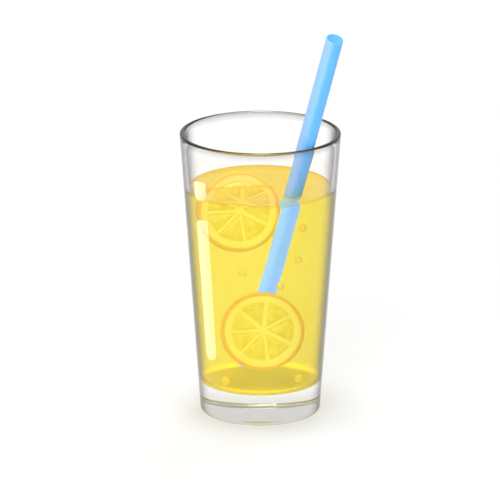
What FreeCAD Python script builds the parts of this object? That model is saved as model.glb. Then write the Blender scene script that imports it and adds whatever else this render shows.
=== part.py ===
import FreeCAD, Part
import math
import os

import Sketcher

# Glass of lemonade: a tapered tumbler with a thick clear base, the drink in it, a drinking straw that
# stands on the floor of the glass and leans on the rim, and a wheel of lemon that floats on edge behind
# the straw.
#
# Frame: millimetres, +Z up. The origin is on the glass's axis, in the plane it stands on. The front is -Y.

# Driving dimensions: name, value, what it is
SIZES = (
    ("glass_height", 160.0, "table to rim"),
    ("rim_radius", 44.6, "outside of the tumbler at the rim"),
    ("base_radius", 33.3, "outside of the tumbler at the table"),
    ("rim_wall", 2.6, "wall at the rim"),
    ("floor_wall", 3.2, "wall at the height of the inner floor"),
    ("floor_thickness", 17.5, "solid glass under the drink"),
    ("floor_fillet", 4.0, "hollow corner between inner floor and wall"),
    ("rim_rounding", 1.2, "rounding of both edges of the rim"),
    ("base_rounding", 2.0, "rounding of the edge that meets the table"),
    ("dimple_radius", 24.0, "shallow hollow under the base, which leaves a ring to stand on"),
    ("dimple_depth", 1.2, "depth of that hollow at the axis"),
    ("headroom", 31.4, "rim down to the surface of the drink"),
    ("straw_diameter", 9.5, "outside of the straw"),
    ("straw_wall", 0.6, "wall of the straw"),
    ("straw_length", 226.0, "end to end"),
    ("straw_rest_angle", -47.6, "where the straw leans on the rim, in degrees from +X"),
    ("straw_foot_angle", 105.7, "where its foot stands on the floor, in degrees from +X"),
    ("straw_clearance", 0.3, "straw to rim and floor"),
    ("slice_diameter", 43.9, "lemon wheel over its rind"),
    ("slice_thickness", 5.5, "lemon wheel, face to face"),
    ("slice_rounding", 1.0, "rounding of the rind's two edges"),
    ("flesh_radius", 16.3, "outer ends of the segments"),
    ("segment_count", 7.0, "segments in the wheel"),
    ("segment_gap", 1.2, "membrane between two segments"),
    ("segment_depth", 0.4, "how far the flesh lies below the membranes"),
    ("slice_rise", 8.0, "top of the wheel above the drink"),
    ("slice_lean", 16.0, "the wheel leans back from upright by this, in degrees"),
    ("slice_turn", 10.0, "its right edge is turned to the back by this, in degrees"),
    ("slice_roll", 4.4, "turn of the segments about the wheel's own axis, in degrees"),
    ("slice_wall_gap", 5.1, "left edge of the wheel to the wall of the glass"),
    ("slice_forward", 2.1, "the wheel's middle in front of the glass's axis, where the straw leaves room"),
    ("slice_straw_gap", 0.3, "wheel to the straw that it leans on from behind"),
)
SLICE_STEP = 0.05  # the wheel moves back in steps of this while it is too close to the straw

# Sizes that follow from the driving ones, as expressions on the sheet
DRINK_LEVEL = "(Sizes.glass_height - Sizes.headroom)"
RIM_BORE = "(Sizes.rim_radius - Sizes.rim_wall)"
OUTSIDE_AT_FLOOR = (
    "(Sizes.base_radius + (Sizes.rim_radius - Sizes.base_radius)"
    " * Sizes.floor_thickness / Sizes.glass_height)"
)
FLOOR_RADIUS = f"({OUTSIDE_AT_FLOOR} - Sizes.floor_wall)"
RIM_ROUNDING = "min(Sizes.rim_rounding; 0.48 * Sizes.rim_wall)"
DIMPLE_SPHERE = "((Sizes.dimple_radius ^ 2 + Sizes.dimple_depth ^ 2) / (2 * Sizes.dimple_depth))"
HALF_SEGMENT = "(180 / Sizes.segment_count)"


def bore_at(height):
    """Inside radius of the glass at a height above the table. Both are expressions."""
    share = f"({height} - Sizes.floor_thickness) / (Sizes.glass_height - Sizes.floor_thickness)"
    return f"({FLOOR_RADIUS} + ({RIM_BORE} - {FLOOR_RADIUS}) * {share})"


doc = FreeCAD.newDocument("GlassOfLemonade")


def make_sheet():
    """The spreadsheet of driving dimensions: name, value and note in one row each."""
    sheet = doc.addObject("Spreadsheet::Sheet", "Sizes")
    for row, (name, value, note) in enumerate(SIZES, start=1):
        sheet.set(f"A{row}", name)
        sheet.set(f"B{row}", str(value))
        sheet.set(f"C{row}", note)
        sheet.setAlias(f"B{row}", name)
    doc.recompute()
    return sheet


# ---------------------------------------------------------------- helpers


def new_body(label):
    body = doc.addObject("PartDesign::Body", label.title().replace("_", ""))
    body.Label = label
    return body


def new_sketch(body, name, role):
    """A sketch on one of the body's own origin planes."""
    sketch = body.newObject("Sketcher::SketchObject", name)
    plane = next(feature for feature in body.Origin.OriginFeatures if feature.Role == role)
    sketch.AttachmentSupport = [(plane, "")]
    sketch.MapMode = "FlatFace"
    return sketch


def value_of(expression):
    """The number that an expression on the sheet has now."""
    return float(doc.Sizes.evalExpression(expression))


def bind(sketch, kind, *where, size):
    """Adds one dimension to a sketch and ties it to an expression on the sheet."""
    index = sketch.addConstraint(Sketcher.Constraint(kind, *where, value_of(size)))
    sketch.setExpression(f"Constraints[{index}]", size)


def add_outline(sketch, corners):
    """A closed outline of straight lines between corners, each an (x, y) pair of expressions."""
    points = [FreeCAD.Vector(value_of(x), value_of(y), 0) for x, y in corners]
    for number, point in enumerate(points):
        following = points[(number + 1) % len(points)]
        sketch.addGeometry(Part.LineSegment(point, following), False)
    for number, (x, y) in enumerate(corners):
        before = (number - 1) % len(corners)
        sketch.addConstraint(Sketcher.Constraint("Coincident", before, 2, number, 1))
        bind(sketch, "DistanceX", -1, 1, number, 1, size=x)
        bind(sketch, "DistanceY", -1, 1, number, 1, size=y)


def revolve(body, sketch, name):
    """Turns a sketch on the XZ plane once round the vertical axis."""
    feature = body.newObject("PartDesign::Revolution", name)
    feature.Profile = sketch
    feature.ReferenceAxis = (sketch, ["V_Axis"])
    feature.Angle = 360
    doc.recompute()
    return feature


def ring_edges(shape, height, radius):
    """Names of the round edges of a turned solid at one height and radius."""
    found = []
    for number, edge in enumerate(shape.Edges, start=1):
        curve = edge.Curve
        if not isinstance(curve, Part.Circle):
            continue
        if abs(curve.Center.z - height) < 0.01 and abs(curve.Radius - radius) < 0.01:
            found.append(f"Edge{number}")
    return found


def round_off(body, name, places, size):
    """Rounds the edges at the (height, radius) places with a radius tied to the sheet."""
    base = body.Tip
    edges = []
    for height, radius in places:
        edges += ring_edges(base.Shape, value_of(height), value_of(radius))
    fillet = body.newObject("PartDesign::Fillet", name)
    fillet.Base = (base, edges)
    fillet.setExpression("Radius", size)
    doc.recompute()
    return fillet


# ---------------------------------------------------------------- glass


def make_glass():
    """A turned tumbler: straight tapered wall, thick base, rounded rim, shallow hollow underneath."""
    body = new_body("glass")
    sketch = new_sketch(body, "GlassProfile", "XZ_Plane")
    add_outline(
        sketch,
        (
            ("0", "0"),
            ("Sizes.base_radius", "0"),
            ("Sizes.rim_radius", "Sizes.glass_height"),
            (RIM_BORE, "Sizes.glass_height"),
            (FLOOR_RADIUS, "Sizes.floor_thickness"),
            ("0", "Sizes.floor_thickness"),
        ),
    )
    revolve(body, sketch, "GlassTurned")
    round_off(body, "GlassFloorCorner", [("Sizes.floor_thickness", FLOOR_RADIUS)], "Sizes.floor_fillet")
    round_off(
        body,
        "GlassRim",
        [("Sizes.glass_height", "Sizes.rim_radius"), ("Sizes.glass_height", RIM_BORE)],
        RIM_ROUNDING,
    )
    round_off(body, "GlassFoot", [("0", "Sizes.base_radius")], "Sizes.base_rounding")

    dimple = body.newObject("PartDesign::SubtractiveSphere", "GlassDimple")
    dimple.setExpression("Radius", DIMPLE_SPHERE)
    dimple.setExpression("Placement.Base.z", f"Sizes.dimple_depth - {DIMPLE_SPHERE}")
    doc.recompute()
    return body


# ---------------------------------------------------------------- straw


def straw_placement():
    """Stands the straw's foot on the floor, close to the wall, and leans it on the rim across from there.

    The lower end is square to the straw's axis, so its lowest edge is near the floor and its middle lies
    higher. The rim's edge is round, so the straw rests on that edge's circle of rounding. Both places depend
    on the lean, and the lean on them, so they are settled in a few rounds.
    """
    up = FreeCAD.Vector(0, 0, 1)
    radius = value_of("Sizes.straw_diameter / 2")
    clearance = value_of("Sizes.straw_clearance")
    rounding = value_of(RIM_ROUNDING)
    foot_radius = value_of(FLOOR_RADIUS) - radius - clearance
    foot_way = FreeCAD.Rotation(up, value_of("Sizes.straw_foot_angle"))
    rest_way = FreeCAD.Rotation(up, value_of("Sizes.straw_rest_angle"))
    lean = 0.0
    for _ in range(20):
        foot_height = value_of("Sizes.floor_thickness") + clearance + radius * math.sin(lean)
        rest_radius = value_of(RIM_BORE) + rounding - (rounding + radius + clearance) / math.cos(lean)
        rest_height = value_of("Sizes.glass_height") - rounding
        foot = foot_way.multVec(FreeCAD.Vector(foot_radius, 0, foot_height))
        rest = rest_way.multVec(FreeCAD.Vector(rest_radius, 0, rest_height))
        lean = (rest - foot).getAngle(up)
    return FreeCAD.Placement(foot, FreeCAD.Rotation(up, rest - foot))


def make_straw():
    """A plain round tube, cut square at both ends."""
    body = new_body("straw")
    sketch = new_sketch(body, "StrawSection", "XY_Plane")
    for inset in ("0", "Sizes.straw_wall"):
        radius = f"Sizes.straw_diameter / 2 - {inset}"
        circle = Part.Circle(FreeCAD.Vector(0, 0, 0), FreeCAD.Vector(0, 0, 1), value_of(radius))
        number = sketch.addGeometry(circle, False)
        sketch.addConstraint(Sketcher.Constraint("Coincident", number, 3, -1, 1))
        bind(sketch, "Radius", number, size=radius)
    pad = body.newObject("PartDesign::Pad", "StrawTube")
    pad.Profile = sketch
    pad.setExpression("Length", "Sizes.straw_length")
    body.Placement = straw_placement()
    doc.recompute()
    return body


# ---------------------------------------------------------------- lemon wheel


def add_segment(body, name, side):
    """One segment of flesh, sunk into the wheel's front (side 1) or back (side -1) face.

    The segment points at the wheel's axis and has straight sides, each half a membrane away from the line
    between it and its neighbour, and a round outer end.
    """
    sketch = new_sketch(body, f"{name}Outline", "XY_Plane")
    sketch.setExpression("AttachmentOffset.Base.z", f"{side} * Sizes.slice_thickness / 2")
    half = math.radians(value_of(HALF_SEGMENT))
    radius = value_of("Sizes.flesh_radius")
    spread = half - math.asin(value_of("Sizes.segment_gap / 2") / radius)
    tip_x = f"Sizes.segment_gap / 2 / sin({HALF_SEGMENT})"
    tip = FreeCAD.Vector(value_of(tip_x), 0, 0)
    left = FreeCAD.Vector(radius * math.cos(spread), radius * math.sin(spread), 0)
    right = FreeCAD.Vector(left.x, -left.y, 0)
    circle = Part.Circle(FreeCAD.Vector(0, 0, 0), FreeCAD.Vector(0, 0, 1), radius)
    lower = sketch.addGeometry(Part.LineSegment(tip, right), False)
    upper = sketch.addGeometry(Part.LineSegment(tip, left), False)
    end = sketch.addGeometry(Part.ArcOfCircle(circle, -spread, spread), False)
    sketch.addConstraint(Sketcher.Constraint("Coincident", lower, 1, upper, 1))
    sketch.addConstraint(Sketcher.Constraint("PointOnObject", lower, 1, -1))
    sketch.addConstraint(Sketcher.Constraint("Coincident", end, 3, -1, 1))
    sketch.addConstraint(Sketcher.Constraint("Coincident", end, 1, lower, 2))
    sketch.addConstraint(Sketcher.Constraint("Coincident", end, 2, upper, 2))
    bind(sketch, "DistanceX", -1, 1, lower, 1, size=tip_x)
    bind(sketch, "Angle", -1, 1, upper, 1, size=f"{HALF_SEGMENT} * 1 deg")
    bind(sketch, "Angle", lower, 1, -1, 1, size=f"{HALF_SEGMENT} * 1 deg")
    bind(sketch, "Radius", end, size="Sizes.flesh_radius")
    pocket = body.newObject("PartDesign::Pocket", name)
    pocket.Profile = sketch
    pocket.Reversed = side < 0
    pocket.setExpression("Length", "Sizes.segment_depth")
    doc.recompute()
    return pocket


def slice_placement(wheel, straw):
    """Stands the wheel on edge in the drink, leaning back, its top above the surface, behind the straw.

    It is a set gap from the wall on the left, and a set distance in front of the glass's axis, from where it
    moves back while it is closer to the straw than the set gap.
    """
    radius = value_of("Sizes.slice_diameter / 2")
    lean = value_of("Sizes.slice_lean")
    gap = value_of("Sizes.slice_straw_gap")
    drop = radius * math.cos(math.radians(lean)) - value_of("Sizes.slice_rise")
    height = value_of(DRINK_LEVEL) - drop
    left = value_of(bore_at(str(height))) - value_of("Sizes.slice_wall_gap") - radius
    turn = FreeCAD.Rotation(FreeCAD.Vector(0, 0, 1), value_of("Sizes.slice_turn"))
    stand = FreeCAD.Rotation(FreeCAD.Vector(1, 0, 0), 90 - lean)
    roll = FreeCAD.Rotation(FreeCAD.Vector(0, 0, 1), value_of("Sizes.slice_roll"))
    centre = FreeCAD.Vector(-left, -value_of("Sizes.slice_forward"), height)
    place = FreeCAD.Placement(centre, turn.multiply(stand).multiply(roll))
    wheel.Placement = place
    while wheel.distToShape(straw.Shape)[0] < gap:
        place.move(FreeCAD.Vector(0, SLICE_STEP, 0))
        wheel.Placement = place
    return place


def make_slice(straw):
    """A wheel cut from a lemon: rounded rind, and segments sunk into both faces."""
    body = new_body("lemon_slice")
    sketch = new_sketch(body, "SliceOutline", "XY_Plane")
    radius = "Sizes.slice_diameter / 2"
    circle = Part.Circle(FreeCAD.Vector(0, 0, 0), FreeCAD.Vector(0, 0, 1), value_of(radius))
    sketch.addGeometry(circle, False)
    sketch.addConstraint(Sketcher.Constraint("Coincident", 0, 3, -1, 1))
    bind(sketch, "Radius", 0, size=radius)
    pad = body.newObject("PartDesign::Pad", "SliceDisc")
    pad.Profile = sketch
    pad.Midplane = True
    pad.setExpression("Length", "Sizes.slice_thickness")
    doc.recompute()
    faces = [("Sizes.slice_thickness / 2", radius), ("-Sizes.slice_thickness / 2", radius)]
    round_off(body, "SliceRind", faces, "Sizes.slice_rounding")
    whole = body.Shape.Volume
    pockets = [add_segment(body, "SliceFront", 1), add_segment(body, "SliceBack", -1)]
    pattern = body.newObject("PartDesign::PolarPattern", "SliceSegments")
    pattern.Originals = pockets
    pattern.Axis = (sketch, ["N_Axis"])
    pattern.Angle = 360
    pattern.setExpression("Occurrences", "Sizes.segment_count")
    body.Tip = pattern
    doc.recompute()
    print(f"lemon_slice: {whole:.1f} mm3 before its segments, {body.Shape.Volume:.1f} after")
    body.Placement = slice_placement(body.Shape.copy(), straw)
    doc.recompute()
    return body


# ---------------------------------------------------------------- drink


def make_lemonade(straw, lemon_slice):
    """What fills the glass up to its level, in the straw's bore too, cut round straw and lemon wheel."""
    poured = new_body("poured")
    sketch = new_sketch(poured, "DrinkProfile", "XZ_Plane")
    add_outline(
        sketch,
        (
            ("0", "Sizes.floor_thickness"),
            (FLOOR_RADIUS, "Sizes.floor_thickness"),
            (bore_at(DRINK_LEVEL), DRINK_LEVEL),
            ("0", DRINK_LEVEL),
        ),
    )
    revolve(poured, sketch, "DrinkTurned")
    round_off(poured, "DrinkFloorCorner", [("Sizes.floor_thickness", FLOOR_RADIUS)], "Sizes.floor_fillet")

    round_straw = doc.addObject("Part::Cut", "DrinkRoundStraw")
    round_straw.Base = poured
    round_straw.Tool = straw
    lemonade = doc.addObject("Part::Cut", "Lemonade")
    lemonade.Label = "lemonade"
    lemonade.Base = round_straw
    lemonade.Tool = lemon_slice
    doc.recompute()
    return lemonade


# ---------------------------------------------------------------- document


def check(parts):
    """Stops if any object failed to compute or a part has no sound single solid."""
    for item in doc.Objects:
        if {"Invalid", "Error"} & set(item.State):
            raise RuntimeError(f"{item.Label} failed: {item.State}")
    for part in parts:
        shape = part.Shape
        if shape.isNull() or not shape.isValid() or len(shape.Solids) != 1:
            raise RuntimeError(f"{part.Label} is not one valid solid")


def write(parts):
    os.makedirs("parts", exist_ok=True)
    for part in parts:
        part.Shape.exportStep(f"parts/{part.Label}.step")
        print(f"{part.Label}: {part.Shape.Volume:.1f} mm3")


make_sheet()
glass = make_glass()
straw = make_straw()
lemon_slice = make_slice(straw)
lemonade = make_lemonade(straw, lemon_slice)
doc.recompute()
parts = (glass, lemonade, straw, lemon_slice)
check(parts)
write(parts)
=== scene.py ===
import math
import random

import bmesh
import bpy
from mathutils import Matrix, Vector, noise


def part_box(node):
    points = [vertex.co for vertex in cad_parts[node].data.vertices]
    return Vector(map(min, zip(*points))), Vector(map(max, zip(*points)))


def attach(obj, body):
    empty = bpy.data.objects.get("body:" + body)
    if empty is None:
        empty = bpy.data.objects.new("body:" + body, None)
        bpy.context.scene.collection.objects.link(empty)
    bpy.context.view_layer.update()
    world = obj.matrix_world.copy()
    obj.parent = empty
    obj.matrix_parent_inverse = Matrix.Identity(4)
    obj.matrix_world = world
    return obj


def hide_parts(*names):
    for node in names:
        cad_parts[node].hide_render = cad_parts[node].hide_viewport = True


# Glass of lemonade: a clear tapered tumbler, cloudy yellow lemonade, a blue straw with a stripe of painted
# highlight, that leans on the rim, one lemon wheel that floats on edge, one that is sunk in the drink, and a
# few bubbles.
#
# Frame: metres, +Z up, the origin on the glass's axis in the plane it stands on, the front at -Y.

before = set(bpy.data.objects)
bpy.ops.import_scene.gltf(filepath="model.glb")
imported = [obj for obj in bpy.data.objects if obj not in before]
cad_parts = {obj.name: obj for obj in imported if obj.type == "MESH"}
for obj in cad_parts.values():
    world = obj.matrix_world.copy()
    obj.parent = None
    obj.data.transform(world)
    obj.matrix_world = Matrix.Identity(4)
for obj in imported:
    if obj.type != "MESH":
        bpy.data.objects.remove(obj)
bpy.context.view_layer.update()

MM = 0.001

# ---------------------------------------------------------------- sizes that the CAD model shares

_, GLASS_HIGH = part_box("glass")
DRINK_LOW, DRINK_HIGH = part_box("lemonade")
STRAW_LOW, STRAW_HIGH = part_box("straw")
SLICE_LOW, SLICE_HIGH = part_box("lemon_slice")

GLASS_HEIGHT = GLASS_HIGH.z
RIM_RADIUS = 44.6 * MM
BASE_RADIUS = 33.3 * MM
RIM_WALL = 2.6 * MM
FLOOR_WALL = 3.2 * MM
FLOOR_HEIGHT = DRINK_LOW.z
FLOOR_FILLET = 4.0 * MM
RIM_ROUNDING = 1.2 * MM
BASE_ROUNDING = 2.0 * MM
DIMPLE_RADIUS = 24.0 * MM
DIMPLE_DEPTH = 1.2 * MM
DRINK_LEVEL = DRINK_HIGH.z

STRAW_RADIUS = 4.75 * MM
STRAW_WALL = 0.6 * MM
STRAW_LENGTH = 226.0 * MM

SLICE_CENTRE = (SLICE_LOW + SLICE_HIGH) / 2
SLICE_RADIUS = 21.95 * MM
SLICE_THICKNESS = 5.5 * MM
SLICE_LEAN = math.radians(16.0)
SLICE_TURN = math.radians(10.0)
SLICE_ROLL = math.radians(4.4)


def outside_at(height):
    """Outer radius of the glass at a height."""
    return BASE_RADIUS + (RIM_RADIUS - BASE_RADIUS) * height / GLASS_HEIGHT


def bore_at(height):
    """Inner radius of the glass at a height."""
    floor_radius = outside_at(FLOOR_HEIGHT) - FLOOR_WALL
    share = (height - FLOOR_HEIGHT) / (GLASS_HEIGHT - FLOOR_HEIGHT)
    return floor_radius + (RIM_RADIUS - RIM_WALL - floor_radius) * share


# ---------------------------------------------------------------- mesh helpers

ON_AXIS = 1e-7  # a point of an outline that is nearer to the axis than this is on it


def smooth_step(value, low, high):
    """0 up to low, 1 from high on, and a smooth rise between them."""
    share = max(0.0, min(1.0, (value - low) / (high - low)))
    return share * share * (3 - 2 * share)


def angle_from(start, angle):
    """The shorter way round from one angle to another, in radians."""
    return (angle - start + math.pi) % (2 * math.pi) - math.pi


def new_mesh(name, verts, faces):
    mesh = bpy.data.meshes.new(name)
    mesh.from_pydata(verts, [], faces)
    return mesh


def new_object(name, mesh, smooth=True):
    piece = bpy.data.objects.new(name, mesh)
    bpy.context.scene.collection.objects.link(piece)
    if smooth:
        mesh.polygons.foreach_set("use_smooth", [True] * len(mesh.polygons))
    return piece


def store(mesh, name, values):
    """Stores a number with each of the mesh's points, for its material."""
    mesh.attributes.new(name, "FLOAT", "POINT").data.foreach_set("value", values)


def store_places(mesh, name, places):
    """Stores a place with each of the mesh's points, for its material's textures."""
    data = mesh.attributes.new(name, "FLOAT_VECTOR", "POINT").data
    data.foreach_set("vector", [part for place in places for part in place])


def arc(centre, radius, start, end, steps):
    """Points (r, z) on an arc in the turning plane, from one angle to another, in degrees."""
    points = []
    for step in range(steps + 1):
        angle = math.radians(start + (end - start) * step / steps)
        points.append((centre[0] + radius * math.cos(angle), centre[1] + radius * math.sin(angle)))
    return points


def line(start, end, steps):
    """Points (r, z) on a straight line, without its first one."""
    return [
        (start[0] + (end[0] - start[0]) * step / steps, start[1] + (end[1] - start[1]) * step / steps)
        for step in range(1, steps + 1)
    ]


def corner(before, at, after, radius, steps):
    """A rounded corner of an outline: the arc of a radius that touches both lines."""
    into = (Vector(before) - Vector(at)).normalized()
    out = (Vector(after) - Vector(at)).normalized()
    half = into.angle(out) / 2
    reach = radius / math.tan(half)
    middle = Vector(at) + (into + out).normalized() * radius / math.sin(half)
    start = Vector(at) + into * reach - middle
    end = Vector(at) + out * reach - middle
    turn = math.atan2(start.x * end.y - start.y * end.x, start.dot(end))
    first = math.atan2(start.y, start.x)
    return [
        (
            middle.x + radius * math.cos(first + turn * step / steps),
            middle.y + radius * math.sin(first + turn * step / steps),
        )
        for step in range(steps + 1)
    ]


def turned(outline, turns):
    """Points and faces of a solid of revolution. Its outline goes up the outside.

    An outline that starts and ends on the axis gives a full solid, and any other is a loop that gives a tube.
    """
    verts, rings, faces = [], [], []
    for radius, height in outline:
        count = 1 if radius < ON_AXIS else turns
        rings.append(range(len(verts), len(verts) + count))
        for step in range(count):
            angle = 2 * math.pi * step / turns
            verts.append((radius * math.cos(angle), radius * math.sin(angle), height))
    following = rings[1:]
    if len(rings[0]) > 1:
        following.append(rings[0])
    for below, above in zip(rings, following):
        for step in range(turns):
            after = (step + 1) % turns
            if len(below) == 1:
                faces.append((below[0], above[after], above[step]))
            elif len(above) == 1:
                faces.append((below[step], below[after], above[0]))
            else:
                faces.append((below[step], below[after], above[after], above[step]))
    return verts, faces


# ---------------------------------------------------------------- material helpers

NOISE_SPAN = (0.3, 0.7)  # nearly all of a noise texture's values lie between these


def linear(colour):
    """A scene-linear colour from a display one, given as hex digits."""
    channels = [int(colour[i : i + 2], 16) / 255 for i in (0, 2, 4)]
    return tuple(c / 12.92 if c <= 0.04045 else ((c + 0.055) / 1.055) ** 2.4 for c in channels) + (1.0,)


def grey(level):
    return (level, level, level, 1.0)


class Nodes:
    """Short calls for building a material's nodes."""

    def __init__(self, name):
        self.material = bpy.data.materials.new(name)
        self.material.use_nodes = True
        self.tree = self.material.node_tree
        self.tree.nodes.clear()
        self.output = self.new("OutputMaterial")
        self.shader = self.new("BsdfPrincipled")
        self.put(self.output.inputs["Surface"], self.shader.outputs[0])

    def new(self, kind, **sockets):
        """A node, with numbers, colours or other nodes' outputs put into its inputs."""
        node = self.tree.nodes.new("ShaderNode" + kind)
        for name, value in sockets.items():
            self.put(node.inputs[name], value)
        return node

    def put(self, socket, value):
        """Links an output to an input, or sets the input to a number or colour."""
        if hasattr(value, "is_output"):
            self.tree.links.new(value, socket)
        else:
            socket.default_value = value

    def set(self, **values):
        """Sets or links inputs of the shader, whose names are written with underscores."""
        for name, value in values.items():
            self.put(self.shader.inputs[name.replace("_", " ")], value)

    def position(self):
        return self.new("TexCoord").outputs["Object"]

    def facing(self):
        """0 where a surface is seen square on, 1 where it is seen edge on."""
        return self.new("LayerWeight", Blend=0.5).outputs["Facing"]

    def stored(self, name, output="Fac"):
        """What is stored with the mesh's points under a name: a number, or with "Vector" a place."""
        node = self.new("Attribute")
        node.attribute_name = name
        return node.outputs[output]

    def noise(self, vector, scale, detail=3.0, rough=0.5, stretch=None):
        if stretch is not None:
            vector = self.new("Mapping", Scale=stretch, Vector=vector).outputs[0]
        return self.new("TexNoise", Scale=scale, Detail=detail, Roughness=rough, Vector=vector).outputs["Fac"]

    def patches(self, vector, scale, **settings):
        """Soft patches of noise, from 0 to 1."""
        return self.span(self.noise(vector, scale, **settings), *NOISE_SPAN)

    def cells(self, vector, scale):
        """Distance to the middle of the nearest of many scattered cells."""
        return self.new("TexVoronoi", Scale=scale, Vector=vector).outputs["Distance"]

    def span(self, source, low, high, to_low=0.0, to_high=1.0, smooth=False):
        """A number between low and high, carried over to between two others."""
        node = self.new("MapRange")
        node.interpolation_type = "SMOOTHSTEP" if smooth else "LINEAR"
        names = ("Value", "From Min", "From Max", "To Min", "To Max")
        for name, value in zip(names, (source, low, high, to_low, to_high)):
            self.put(node.inputs[name], value)
        return node.outputs["Result"]

    def math(self, operation, *values):
        node = self.new("Math")
        node.operation = operation
        for socket, value in zip(node.inputs, values):
            self.put(socket, value)
        return node.outputs[0]

    def mix(self, share, first, second):
        """A colour between two others."""
        node = self.new("Mix")
        node.data_type = "RGBA"
        sockets = {socket.identifier: socket for socket in node.inputs}
        for name, value in (("Factor_Float", share), ("A_Color", first), ("B_Color", second)):
            self.put(sockets[name], value)
        return next(socket for socket in node.outputs if socket.identifier == "Result_Color")

    def tones(self, share, pair):
        """A colour between a pair of display ones."""
        return self.mix(share, linear(pair[0]), linear(pair[1]))

    def bump(self, height, strength, distance):
        self.set(Normal=self.new("Bump", Strength=strength, Distance=distance, Height=height).outputs[0])

    def let_lamps_through(self, tint):
        """Rays from lamps pass, tinted, so that what is inside is lit."""
        lamp_ray = self.new("LightPath").outputs["Is Shadow Ray"]
        clear = self.new("BsdfTransparent", Color=tint).outputs[0]
        mix = self.new("MixShader")
        for socket, value in zip(mix.inputs, (lamp_ray, self.shader.outputs[0], clear)):
            self.put(socket, value)
        self.put(self.output.inputs["Surface"], mix.outputs[0])


class LampNodes(Nodes):
    """The same calls for a lamp's nodes."""

    def __init__(self, data):
        data.use_nodes = True
        self.tree = data.node_tree
        self.shader = next(node for node in self.tree.nodes if node.bl_idname == "ShaderNodeEmission")

    def place(self):
        """Place on the lamp, from -1 to 1 along its width and along its height."""
        split = self.new("SeparateXYZ", Vector=self.new("NewGeometry").outputs["Parametric"])
        return [self.math("MULTIPLY", self.math("SUBTRACT", split.outputs[k], 0.5), 2.0) for k in (0, 1)]


# ---------------------------------------------------------------- materials

# A pair of display colours is for the deeper and the paler patches of one stuff, where no comment says
# otherwise. Under the drink's level, the straw and the wheels have other colours than above it, so that
# through the yellow drink they still read as light blue and as cream.

CLEAR_GLASS = (0.99, 0.993, 0.993, 1.0)
# Painted shade: the dark tint that the glass gets in its colour where it is seen edge on
GLASS_ASLANT_PAINTED_SHADE = (0.03, 0.031, 0.033, 1.0)
# Painted shade: the grey painted on the rim and on the foot's outer ring
GLASS_EDGE_PAINTED_SHADE = (0.32, 0.325, 0.33, 1.0)

DRINK_BODY = ("FFE93E", "FFED56")
# Painted shade: the deeper yellow of the drink's top surface
DRINK_TOP_PAINTED_SHADE = ("ECC222", "F0CA2C")
DRINK_TINT = (0.90, 0.88, 0.78, 1.0)
DRINK_SHADE = (0.30, 0.30, 0.31, 1.0)

STRAW_DEEP = ("57ADF3", "1474D8")  # over and under the drink's level
# Painted highlight: the paler blue of the straw's lit left front side, over and under the drink's level
STRAW_PAINTED_HIGHLIGHT = ("87B9F1", "4498EA")
STRAW_GLOW_COLOUR = (0.0, 0.085, 1.0, 1.0)
STRAW_GLOW = 4.4

LEMON_DRY = {
    "pith": ("E8CE50", "EED65E"),
    "flesh": ("E0C410", "ECD42C"),
    "seam": "F0DC60",
    "rind": ("ECB614", "F2BE1E"),
}
LEMON_SUNK = {
    "pith": ("E2E3AA", "E8E8B4"),
    "flesh": ("C8BC14", "D6CC30"),
    "seam": "E0DA70",
    "rind": ("D6A606", "DEB010"),
}


def glass_material():
    """Clear glass with faint waves, with painted shade where it is seen edge on, and painted grey shade at
    the rim and the foot.
    """
    nodes = Nodes("clear_glass")
    # Painted shade: the glass turns dark where it is seen edge on
    aslant = nodes.span(nodes.facing(), 0.44, 0.80, smooth=True)
    wall = nodes.mix(aslant, CLEAR_GLASS, GLASS_ASLANT_PAINTED_SHADE)
    # Painted grey shade on the rim and the foot's outer ring, from the stored edge mask
    nodes.set(Base_Color=nodes.mix(nodes.stored("edge"), wall, GLASS_EDGE_PAINTED_SHADE))
    nodes.set(Transmission_Weight=1.0, IOR=1.5, Roughness=0.0, Specular_IOR_Level=0.3)
    waves = nodes.noise(nodes.position(), 24.0, detail=1.0, stretch=(1.0, 1.0, 0.35))
    nodes.bump(waves, strength=0.05, distance=0.8 * MM)
    nodes.let_lamps_through(grey(0.96))
    return nodes.material


def drink_material():
    """Cloudy lemonade in soft patches, with painted shade on its surface, which is a deeper yellow.

    Shadow rays pass. The ones that start outside it and enter through its side are held back, so that the
    glass casts a soft shadow, and what is in the drink stays lit.
    """
    nodes = Nodes("cloudy_lemonade")
    place = nodes.position()
    cloud = nodes.patches(place, 38.0, detail=4.0, rough=0.55, stretch=(1.0, 1.0, 0.6))
    body, top = nodes.tones(cloud, DRINK_BODY), nodes.tones(cloud, DRINK_TOP_PAINTED_SHADE)
    # Painted shade: the top surface gets the deeper yellow
    nodes.set(Base_Color=nodes.mix(nodes.stored("surface"), body, top))
    nodes.set(Transmission_Weight=nodes.stored("clear"))
    nodes.set(IOR=1.07, Roughness=0.03, Coat_Weight=0.12, Coat_Roughness=0.03)
    nodes.bump(nodes.noise(place, 60.0, detail=2.0), strength=0.06, distance=0.5 * MM)
    enters = nodes.math("SUBTRACT", 1.0, nodes.new("NewGeometry").outputs["Backfacing"])
    shade = nodes.math("MULTIPLY", enters, nodes.stored("side"))
    nodes.let_lamps_through(nodes.mix(shade, DRINK_TINT, DRINK_SHADE))
    return nodes.material


def straw_material():
    """Glossy blue plastic with a paler stripe of painted highlight along its left front side.

    The sunk part glows faintly, because yellow drink turns blue to green.
    """
    nodes = Nodes("blue_straw")
    sunk = nodes.stored("sunk")
    deep, painted_highlight = nodes.tones(sunk, STRAW_DEEP), nodes.tones(sunk, STRAW_PAINTED_HIGHLIGHT)
    # Painted highlight: a paler stripe down the straw's left front side
    nodes.set(Base_Color=nodes.mix(nodes.stored("lit_stripe"), deep, painted_highlight))
    nodes.set(Emission_Color=STRAW_GLOW_COLOUR)
    nodes.set(Emission_Strength=nodes.span(sunk, 0.0, 1.0, to_high=STRAW_GLOW))
    nodes.set(Roughness=0.24, Subsurface_Weight=0.12, Subsurface_Scale=2 * MM, IOR=1.49)
    nodes.let_lamps_through((0.75, 0.88, 1.0, 1.0))
    return nodes.material


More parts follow.
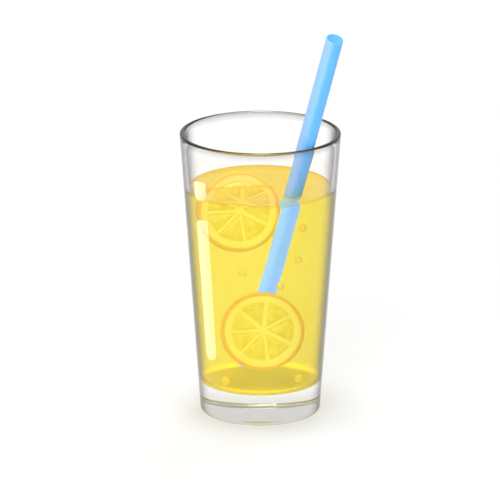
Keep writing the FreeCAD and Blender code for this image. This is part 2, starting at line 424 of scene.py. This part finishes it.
def lemon_material():
    """Rind with oil glands, pale pith and membranes, and flesh of juice sacs with paler seams."""
    nodes = Nodes("lemon_wheel")
    place = nodes.stored("wheel", "Vector")
    rind, flesh = nodes.stored("rind"), nodes.stored("flesh")
    sacs, seam = nodes.stored("sacs"), nodes.stored("seam")
    soft = nodes.patches(place, 160.0, detail=4.0)

    def wheel(colours):
        """The colour of the whole wheel."""
        juice = nodes.mix(seam, nodes.tones(sacs, colours["flesh"]), linear(colours["seam"]))
        inner = nodes.mix(flesh, nodes.tones(soft, colours["pith"]), juice)
        return nodes.mix(rind, inner, nodes.tones(soft, colours["rind"]))

    nodes.set(Base_Color=nodes.mix(nodes.stored("sunk"), wheel(LEMON_DRY), wheel(LEMON_SUNK)))
    glands = nodes.math("MULTIPLY", nodes.span(nodes.cells(place, 900.0), 0.0, 0.45), rind)
    grain = nodes.math("MULTIPLY", nodes.noise(place, 700.0), 0.35)
    nodes.bump(nodes.math("ADD", glands, grain), strength=0.35, distance=0.25 * MM)
    nodes.set(Roughness=nodes.span(flesh, 0.0, 1.0, to_low=0.5, to_high=0.2))
    nodes.set(Subsurface_Weight=0.15, Subsurface_Radius=(1.0, 0.9, 0.4), Subsurface_Scale=2 * MM, IOR=1.4)
    nodes.let_lamps_through((0.82, 0.80, 0.62, 1.0))
    return nodes.material


def bubble_material():
    """Paler than the drink round it, with a gloss."""
    nodes = Nodes("drink_bubble")
    nodes.set(Base_Color=nodes.tones(nodes.patches(nodes.position(), 300.0), ("FCE86A", "FFF08A")))
    nodes.set(Transmission_Weight=0.65, IOR=1.12, Roughness=0.05, Coat_Weight=0.8, Coat_Roughness=0.02)
    nodes.let_lamps_through((0.95, 0.88, 0.55, 1.0))
    return nodes.material


def floor_material():
    nodes = Nodes("pale_floor")
    grain = nodes.noise(nodes.position(), 40.0)
    nodes.set(Base_Color=nodes.mix(grain, grey(0.65), grey(0.67)), Roughness=0.9)
    return nodes.material


# ---------------------------------------------------------------- glass

TURNS = 192  # steps round the glass and the drink
WALL_ROWS = 40
FOOT_PAINTED_SHADE = 0.6  # how dark the painted shade on the foot's outer ring is, beside the rim's


def edge_painted_shade(point):
    """How much painted grey shade the glass gets: all of it on the rim, and some on the foot's outer ring."""
    radius, height = point.xy.length, point.z
    rim = smooth_step(height, GLASS_HEIGHT - 1.6 * MM, GLASS_HEIGHT - 0.8 * MM)
    outer = smooth_step(radius, BASE_RADIUS - 1.3 * MM, BASE_RADIUS - 0.5 * MM)
    low = 1 - smooth_step(height, 0.5 * MM, 1.4 * MM)
    return max(rim, FOOT_PAINTED_SHADE * outer * low)


def make_glass():
    """A turned tumbler: shallow hollow under a thick base, straight tapered wall, round rim."""
    sphere = (DIMPLE_RADIUS**2 + DIMPLE_DEPTH**2) / (2 * DIMPLE_DEPTH)
    half = math.degrees(math.asin(DIMPLE_RADIUS / sphere))
    rim_outer = (RIM_RADIUS, GLASS_HEIGHT)
    rim_inner = (RIM_RADIUS - RIM_WALL, GLASS_HEIGHT)
    foot = (BASE_RADIUS, 0.0)
    floor_edge = (bore_at(FLOOR_HEIGHT), FLOOR_HEIGHT)
    outer_lip = corner(foot, rim_outer, rim_inner, RIM_ROUNDING, 8)
    fillet = corner(rim_inner, floor_edge, (0.0, FLOOR_HEIGHT), FLOOR_FILLET, 12)
    dimple = arc((0.0, DIMPLE_DEPTH - sphere), sphere, 90.0, 90.0 - half, 10)
    outline = [(0.0, DIMPLE_DEPTH)] + dimple[1:]
    outline += line(outline[-1], (BASE_RADIUS - 2 * BASE_ROUNDING, 0.0), 2)
    outline += corner((0.0, 0.0), foot, rim_outer, BASE_ROUNDING, 10)
    outline += line(outline[-1], outer_lip[0], WALL_ROWS) + outer_lip[1:]
    outline += corner(rim_outer, rim_inner, floor_edge, RIM_ROUNDING, 8)
    outline += line(outline[-1], fillet[0], WALL_ROWS) + fillet[1:]
    outline += line(outline[-1], (0.0, FLOOR_HEIGHT), 8)
    mesh = new_mesh("tumbler", *turned(outline, TURNS))
    # The painted shade on the rim and the foot is stored as the edge mask
    store(mesh, "edge", [edge_painted_shade(vertex.co) for vertex in mesh.vertices])
    mesh.materials.append(glass_material())
    glass = new_object("tumbler", mesh)
    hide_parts("glass")
    return glass


# ---------------------------------------------------------------- straw

STRAW_TURNS = 48
STRAW_ROWS = 150
STRIPE_SIDE = Vector((-0.80, -0.60, 0.0))  # the side of the straw that the painted highlight stripe is on, its left front
STRIPE_HALF = math.radians(44.0)  # half of the stripe's width, seen from the axis
STRIPE_FADE = math.radians(14.0)


def straw_line():
    """The middle of the straw's foot and of its top, from the box of its solid.

    A tube of known length and radius, cut square, fills a box that is wider than its axis by the reach of
    its end rings. The straw runs from back left to front right.
    """
    low, high = STRAW_LOW, STRAW_HIGH
    foot = Vector((low.x, high.y, low.z))
    top = Vector((high.x, low.y, high.z))
    way = (top - foot).normalized()
    for _ in range(20):
        reach = [STRAW_RADIUS * math.sqrt(max(1 - part * part, 0.0)) for part in way]
        foot = Vector((low.x + reach[0], high.y - reach[1], low.z + reach[2]))
        top = Vector((high.x - reach[0], low.y + reach[1], high.z - reach[2]))
        way = (top - foot).normalized()
    return foot, top


STRAW_FOOT, STRAW_TOP = straw_line()
STRAW_WAY = (STRAW_TOP - STRAW_FOOT).normalized()


def straw_middle_at(height):
    """Where the straw's axis is at a height."""
    return STRAW_FOOT + STRAW_WAY * (height - STRAW_FOOT.z) / STRAW_WAY.z


def make_straw():
    """A tube with rounded lips, and its painted highlight stripe and the part of it that is sunk stored with
    its points.
    """
    lip = STRAW_WALL / 2
    middle = STRAW_RADIUS - lip
    outline = arc((middle, lip), lip, -180.0, 0.0, 8)
    outline += line(outline[-1], (STRAW_RADIUS, STRAW_LENGTH - lip), STRAW_ROWS)
    outline += arc((middle, STRAW_LENGTH - lip), lip, 0.0, 180.0, 8)[1:]
    outline += line(outline[-1], (STRAW_RADIUS - STRAW_WALL, lip), STRAW_ROWS)[:-1]
    verts, faces = turned(outline, STRAW_TURNS)

    turn = STRAW_WAY.to_track_quat("Z", "Y").to_matrix()
    place = Matrix.Translation(STRAW_FOOT) @ turn.to_4x4()
    pale_side = turn.inverted() @ STRIPE_SIDE
    pale_angle = math.atan2(pale_side.y, pale_side.x)
    lit_stripe, sunk = [], []
    for point in verts:
        off = abs(angle_from(pale_angle, math.atan2(point[1], point[0])))
        # Painted highlight: the stripe faces the left front
        lit_stripe.append(max(0.0, min(1.0, (STRIPE_HALF - off) / STRIPE_FADE + 0.5)))
        sunk.append(smooth_step(DRINK_LEVEL - (place @ Vector(point)).z, 0.4 * MM, 1.6 * MM))
    mesh = new_mesh("drinking_straw", verts, faces)
    store(mesh, "lit_stripe", lit_stripe)
    store(mesh, "sunk", sunk)
    mesh.transform(place)
    mesh.materials.append(straw_material())
    straw = new_object("drinking_straw", mesh)
    # The glow of its sunk part doesn't show on other pieces
    straw.visible_diffuse = False
    straw.visible_glossy = False
    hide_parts("straw")
    return straw


# ---------------------------------------------------------------- lemon wheels

RIND = 2.1 * MM
PITH = 3.4 * MM
FLESH_RADIUS = SLICE_RADIUS - RIND - PITH
CORE_RADIUS = 1.5 * MM  # the pith in the middle
RIM_BULGE = 1.1 * MM  # how far the rounded rim stands out from the cut faces
# The membranes' angles round the wheel in degrees, and their widths: no two segments are alike
MEMBRANES = ((77.1, 1.9), (131.3, 1.9), (176.9, 1.2), (219.9, 1.1), (271.1, 1.1), (324.5, 1.8), (22.6, 1.2))
FLESH_DEPTH = 0.40 * MM  # how far the flesh lies under the pith at its border
FLESH_SWELL = 0.42 * MM  # how far it rises again towards the middle of a segment
SWELL_WIDTH = 2.2 * MM
SAC_RELIEF = 0.22 * MM
SAC_SCALE = 180.0  # juice sacs in a metre

WHEEL_STEPS = 288
FACE_RINGS = 56
RIM_STEPS = 14
RIM_SQUARENESS = 0.6  # 1 for a half-round rim, less for a squarer one

SUNK_CENTRE = Vector((1.1, -8.3, 48.3)) * MM
SUNK_TURN = math.radians(4.0)
SUNK_ROLL = math.radians(6.0)


def wheel_place(centre, turn, roll):
    """Stands a wheel that lies in the XY plane on edge, its face to the front, leaning back."""
    stand = Matrix.Rotation(turn, 4, "Z") @ Matrix.Rotation(math.pi / 2 - SLICE_LEAN, 4, "X")
    return Matrix.Translation(centre) @ stand @ Matrix.Rotation(roll, 4, "Z")


FLOATING_PLACE = wheel_place(SLICE_CENTRE, SLICE_TURN, SLICE_ROLL)
SUNK_PLACE = wheel_place(SUNK_CENTRE, SUNK_TURN, SUNK_ROLL)


def wheel_faces(inner, outer):
    """The faces between a ring of points, or a single point, and the ring that follows it."""
    faces = []
    for step in range(WHEEL_STEPS):
        after = (step + 1) % WHEEL_STEPS
        if len(inner) == 1:
            faces.append((inner[0], outer[step], outer[after]))
        else:
            faces.append((inner[step], outer[step], outer[after], inner[after]))
    return faces


def wheel_mesh(name, seed):
    """A wheel of lemon as a mesh: both cut faces in relief, and a rounded rind round the edge."""
    random.seed(seed)
    # The membranes meet a little off the middle
    hub = Vector((random.uniform(-0.9, -0.5), random.uniform(-0.9, -0.5))) * -MM
    half = SLICE_THICKNESS / 2
    verts, faces = [], []
    marks = {"rind": [], "flesh": [], "sacs": [], "seam": []}

    def waver(x, y, height, scale, pattern):
        """Smooth noise of a height over the cut faces."""
        return height * noise.noise(Vector((x, y, seed + pattern)) * scale)

    def relief(x, y, side):
        """Height of a cut face over its plane, and the share of flesh and of sac there."""
        to_edge = FLESH_RADIUS - math.hypot(x, y) + waver(x, y, 0.25 * MM, 500, 0)
        px, py = x - hub.x, y - hub.y
        reach = math.hypot(px, py)
        angle = math.atan2(py, px)
        to_membrane, segment = 1.0, 0
        for index, (degrees, width) in enumerate(MEMBRANES):
            off = angle_from(math.radians(degrees), angle)
            across = reach * math.sin(min(abs(off), math.pi / 2)) - width * MM / 2
            if across < to_membrane:
                to_membrane, segment = across, index * 2 + (1 if off > 0 else 0)
        to_membrane += waver(x, y, 0.14 * MM, 420, 3)
        inside = min(to_membrane, to_edge, reach - CORE_RADIUS)
        flesh = smooth_step(inside, -0.05 * MM, 0.30 * MM)
        # The sacs are cells, with another set of them beside each membrane and on each face
        cells = noise.voronoi(Vector((px * SAC_SCALE, py * SAC_SCALE, segment + seed * 7 + side * 40)))[0]
        sac = smooth_step(cells[1] - cells[0], 0.0, 0.45)
        swell = FLESH_SWELL * smooth_step(inside, 0.0, SWELL_WIDTH)
        height = flesh * (swell + SAC_RELIEF * sac - FLESH_DEPTH)
        return height + waver(x, y, 0.10 * MM, 260, 9) * (1 - flesh), flesh, sac

    def add(place, rind=1.0, flesh=0.0, sacs=0.0, seam=0.0):
        verts.append(place)
        for key, value in (("rind", rind), ("flesh", flesh), ("sacs", sacs), ("seam", seam)):
            marks[key].append(value)
        return len(verts) - 1

    def face_rings(side):
        """The rings of points of a cut face, from its middle out."""
        height, flesh, sac = relief(0.0, 0.0, side)
        rings = [[add((0.0, 0.0, side * (half + height)), 0.0, flesh, sac, 1 - sac)]]
        for number in range(1, FACE_RINGS + 1):
            radius = (SLICE_RADIUS - RIM_BULGE) * (number / FACE_RINGS) ** 0.9
            ring = []
            for step in range(WHEEL_STEPS):
                way = 2 * math.pi * step / WHEEL_STEPS
                x, y = radius * math.cos(way), radius * math.sin(way)
                height, flesh, sac = relief(x, y, side)
                into_rind = radius + waver(x, y, 0.18 * MM, 300, 20) - (SLICE_RADIUS - RIND)
                rind = smooth_step(into_rind, -0.15 * MM, 0.15 * MM)
                place = (x, y, side * (half + height * (1 - rind)))
                ring.append(add(place, rind, flesh, sac, (1 - sac) * flesh))
            rings.append(ring)
        return rings

    front, back = face_rings(1), face_rings(-1)
    for inner, outer in zip(front, front[1:]):
        faces += wheel_faces(inner, outer)
    for inner, outer in zip(back, back[1:]):
        faces += [tuple(reversed(face)) for face in wheel_faces(inner, outer)]
    edge = [front[-1]]
    for number in range(1, RIM_STEPS):
        angle = math.pi * number / RIM_STEPS
        out = RIM_BULGE * math.sin(angle) ** RIM_SQUARENESS
        z = half * math.copysign(abs(math.cos(angle)) ** RIM_SQUARENESS, math.cos(angle))
        ring = []
        for step in range(WHEEL_STEPS):
            way = 2 * math.pi * step / WHEEL_STEPS
            spot = Vector((math.cos(way) * 22, math.sin(way) * 22, number * 0.9 + seed))
            dent = 0.07 * MM * noise.noise(spot) - 0.05 * MM
            radius = SLICE_RADIUS - RIM_BULGE + out + dent
            ring.append(add((radius * math.cos(way), radius * math.sin(way), z)))
        edge.append(ring)
    edge.append(back[-1])
    for before, after in zip(edge, edge[1:]):
        faces += wheel_faces(before, after)
    mesh = new_mesh(name, verts, faces)
    for key, values in marks.items():
        store(mesh, key, values)
    store_places(mesh, "wheel", [[part + seed for part in vert] for vert in verts])
    return mesh


def make_wheels():
    """The floating wheel and the sunk one, each with another pattern."""
    material = lemon_material()
    wheels = []
    places = (("lemon_wheel_floating", FLOATING_PLACE), ("lemon_wheel_sunk", SUNK_PLACE))
    for seed, (name, place) in enumerate(places, 1):
        mesh = wheel_mesh(name, seed)
        mesh.transform(place)
        depths = [DRINK_LEVEL - vertex.co.z for vertex in mesh.vertices]
        store(mesh, "sunk", [smooth_step(depth, 0.0, 1.5 * MM) for depth in depths])
        mesh.materials.append(material)
        wheel = new_object(name, mesh)
        wheels.append(wheel)
    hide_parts("lemon_slice")
    return wheels


# ---------------------------------------------------------------- drink

WALL_BITE = 0.12 * MM  # how far the drink reaches into the wall of the glass
SURFACE_RINGS = 64
CLEARNESS = 0.76  # share of light that the drink lets through
SEDIMENT_CLEARNESS = 0.04  # the same at the floor, where the pulp settles
SEDIMENT_FROM, SEDIMENT_TO = 0.5 * MM, 3 * MM  # heights over the floor between which the pulp thins out
MENISCUS_RISE = 1.3 * MM
MENISCUS_WIDTH = 1.6 * MM
MENISCUS_ON_PIECES = 0.75  # how high it climbs on the straw and the wheel, beside the wall
SURFACE_DROP = 0.2 * MM  # how far the open surface lies under the level
RIPPLE = 0.10 * MM


def wheel_gap(point):
    """Distance from a point to the floating wheel."""
    local = FLOATING_PLACE.inverted() @ point
    out = max(math.hypot(local.x, local.y) - SLICE_RADIUS, 0.0)
    return math.hypot(out, max(abs(local.z) - SLICE_THICKNESS / 2, 0.0))


def surface_height(x, y):
    """The drink's surface: it climbs a little at the wall, at the straw and at the wheel."""
    point = Vector((x, y, DRINK_LEVEL))
    wall = max(bore_at(DRINK_LEVEL) - math.hypot(x, y), 0.0)
    off = point - straw_middle_at(DRINK_LEVEL)
    straw = max((off - STRAW_WAY * off.dot(STRAW_WAY)).length - STRAW_RADIUS, 0.0)
    climb = max(
        math.exp(-wall / MENISCUS_WIDTH),
        MENISCUS_ON_PIECES * math.exp(-straw / MENISCUS_WIDTH),
        MENISCUS_ON_PIECES * math.exp(-wheel_gap(point) / MENISCUS_WIDTH),
    )
    return DRINK_LEVEL + MENISCUS_RISE * climb + RIPPLE * noise.noise(point * 70) - SURFACE_DROP


def make_drink():
    """What fills the glass, reaching just into its wall, with a surface that clings to what it touches."""
    top_radius = bore_at(DRINK_LEVEL) + WALL_BITE
    floor_edge = (bore_at(FLOOR_HEIGHT) + WALL_BITE, FLOOR_HEIGHT - WALL_BITE)
    wall_top = (top_radius, DRINK_LEVEL + MENISCUS_RISE - SURFACE_DROP)
    fillet = corner((0.0, floor_edge[1]), floor_edge, wall_top, FLOOR_FILLET, 12)
    outline = [(0.0, floor_edge[1])] + line((0.0, floor_edge[1]), fillet[0], 8)
    outline += fillet[1:]
    outline += line(outline[-1], wall_top, WALL_ROWS)
    start = 1 + (len(outline) - 1) * TURNS  # the number of the surface's first point
    for ring in range(1, SURFACE_RINGS + 1):
        outline.append((top_radius * (1 - ring / SURFACE_RINGS), DRINK_LEVEL))
    mesh = new_mesh("lemonade_fill", *turned(outline, TURNS))
    surface, clear, side = [], [], []
    for number, vertex in enumerate(mesh.vertices):
        on_top = number >= start
        if on_top:
            vertex.co.z = surface_height(vertex.co.x, vertex.co.y)
        over_floor = vertex.co.z - FLOOR_HEIGHT
        settled = 1 - smooth_step(over_floor, SEDIMENT_FROM, SEDIMENT_TO)
        surface.append(1.0 if number >= start - TURNS else 0.0)
        clear.append(CLEARNESS - (CLEARNESS - SEDIMENT_CLEARNESS) * settled)
        side.append(0.0 if on_top else 1 - settled)
    store(mesh, "surface", surface)
    store(mesh, "clear", clear)
    store(mesh, "side", side)
    mesh.materials.append(drink_material())
    drink = new_object("lemonade_fill", mesh)
    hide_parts("lemonade")
    return drink


# ---------------------------------------------------------------- bubbles

# Angle from the front in degrees, and height and diameter in millimetres
BUBBLES = (
    (38.7, 113.5, 4.7),
    (35.4, 95.6, 4.4),
    (-16.3, 89.5, 4.8),
    (18.7, 81.1, 4.5),
    (-39.9, 23.6, 4.8),
    (44.8, 24.4, 4.9),
)
BUBBLE_GAP = 0.5 * MM  # between a bubble and the wall


def make_bubbles():
    """The bubbles close behind the front wall, each a little flattened."""
    random.seed(11)
    shell = bmesh.new()
    for degrees, height, diameter in BUBBLES:
        radius = diameter / 2 * MM
        out = bore_at(height * MM) - radius - BUBBLE_GAP
        angle = math.radians(degrees)
        centre = Vector((out * math.sin(angle), -out * math.cos(angle), height * MM))
        shape = Matrix.Diagonal((1.0, random.uniform(0.86, 0.92), random.uniform(0.94, 1.03), 1.0))
        place = Matrix.Translation(centre) @ Matrix.Rotation(angle, 4, "Z") @ shape
        bmesh.ops.create_icosphere(shell, subdivisions=4, radius=radius, matrix=place)
    mesh = bpy.data.meshes.new("bubbles")
    shell.to_mesh(mesh)
    shell.free()
    mesh.materials.append(bubble_material())
    bubbles = new_object("bubbles", mesh)
    return bubbles


# ---------------------------------------------------------------- studio

CAMERA_ELEVATION = math.radians(17.0)
CAMERA_TARGET = Vector((-5.7, 0.0, 97.2)) * MM
CAMERA_DISTANCE = 3.0

WORLD_STRENGTH = 0.66
LAMP_TARGET = (0.0, 0.0, 0.08)
HIGHLIGHT_RADIANCE = 5.4
HIGHLIGHT_WIDTH = 41 * MM
HIGHLIGHT_PLACE = (-97 * MM, -10 * MM)  # left of the glass, a little to the front
HIGHLIGHT_ROUNDING = 3.0 * MM  # height of the rounded ends

LONG_PATH = 16  # bounces, for light that goes through several walls


def aim(thing, target):
    thing.rotation_euler = (target - thing.location).to_track_quat("-Z", "Y").to_euler()


def make_camera():
    """From the front, a little above, through a long lens."""
    data = bpy.data.cameras.new("camera")
    data.sensor_width = 36.0
    data.lens = 390.0
    data.clip_start = 0.1
    data.clip_end = 100.0
    camera = bpy.data.objects.new("camera", data)
    away = Vector((0.0, -math.cos(CAMERA_ELEVATION), math.sin(CAMERA_ELEVATION)))
    camera.location = CAMERA_TARGET + CAMERA_DISTANCE * away
    aim(camera, CAMERA_TARGET)
    bpy.context.scene.collection.objects.link(camera)
    bpy.context.scene.camera = camera


def make_floor():
    """A flat square, in a few steps each way."""
    size, steps = 8.0, 8
    row = steps + 1
    marks = [size * (step / steps - 0.5) for step in range(row)]
    verts = [(x, y, 0.0) for x in marks for y in marks]
    starts = [i * row + j for i in range(steps) for j in range(steps)]
    faces = [(start, start + row, start + row + 1, start + 1) for start in starts]
    mesh = new_mesh("floor", verts, faces)
    mesh.materials.append(floor_material())
    floor = new_object("floor", mesh, smooth=False)


def make_area_light(name, location, target, size, radiance):
    """A flat lamp of a size, aimed at a point. Its power follows from how bright it looks."""
    data = bpy.data.lights.new(name, "AREA")
    data.shape = "RECTANGLE"
    data.size, data.size_y = size
    data.energy = radiance * math.pi * size[0] * size[1]
    lamp = bpy.data.objects.new(name, data)
    lamp.location = location
    aim(lamp, Vector(target))
    bpy.context.scene.collection.objects.link(lamp)
    return lamp


def make_highlight(name, low, high):
    """An upright strip light with rounded ends, left of the glass, that shows only as a reflection."""
    centre = Vector((*HIGHLIGHT_PLACE, (low + high) / 2))
    size = (HIGHLIGHT_WIDTH, high - low)
    lamp = make_area_light(name, centre, centre + Vector((1, 0, 0)), size, HIGHLIGHT_RADIANCE)
    nodes = LampNodes(lamp.data)
    across, up = nodes.place()
    half = (high - low) / 2
    from_middle = nodes.math("ABSOLUTE", nodes.math("MULTIPLY", up, half))
    past_straight = nodes.math("SUBTRACT", from_middle, half - HIGHLIGHT_ROUNDING)
    end = nodes.math("MAXIMUM", nodes.math("DIVIDE", past_straight, HIGHLIGHT_ROUNDING), 0.0)
    off = nodes.math("ADD", nodes.math("MULTIPLY", across, across), nodes.math("MULTIPLY", end, end))
    nodes.set(Strength=nodes.span(off, 0.85, 1.0, to_low=1.0, to_high=0.0))
    lamp.visible_diffuse = False
    lamp.visible_transmission = False
    lamp.visible_camera = False


def make_lights():
    """Pale surroundings, three soft lamps, and the strips that make the glass's two highlights."""
    world = bpy.data.worlds.new("studio")
    world.use_nodes = True
    background = world.node_tree.nodes["Background"]
    background.inputs["Color"].default_value = grey(1.0)
    background.inputs["Strength"].default_value = WORLD_STRENGTH
    bpy.context.scene.world = world
    make_area_light("overhead", (-0.08, -0.05, 3.0), (0, 0, 0), size=(1.0, 1.0), radiance=16.5)
    front = make_area_light("front", (-0.6, -2.15, 0.9), LAMP_TARGET, size=(1.6, 1.6), radiance=5.2)
    back = make_area_light("back", (1.0, 2.0, 0.9), LAMP_TARGET, size=(1.6, 1.6), radiance=3.4)
    for lamp in (front, back):
        lamp.visible_glossy = False
        lamp.visible_transmission = False
    make_highlight("highlight_drink", 4.6 * MM, 90.6 * MM)
    make_highlight("highlight_rim", 102 * MM, 114 * MM)


def make_view():
    scene = bpy.context.scene
    scene.view_settings.view_transform = "Standard"
    scene.cycles.transparent_max_bounces = LONG_PATH
    scene.cycles.max_bounces = LONG_PATH
    scene.cycles.transmission_bounces = LONG_PATH
    scene.cycles.glossy_bounces = 6
    scene.cycles.diffuse_bounces = 4


make_camera()
make_floor()
make_lights()
make_view()
pieces = [make_glass(), make_straw(), *make_wheels(), make_drink(), make_bubbles()]
for piece in pieces:
    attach(piece, "root")
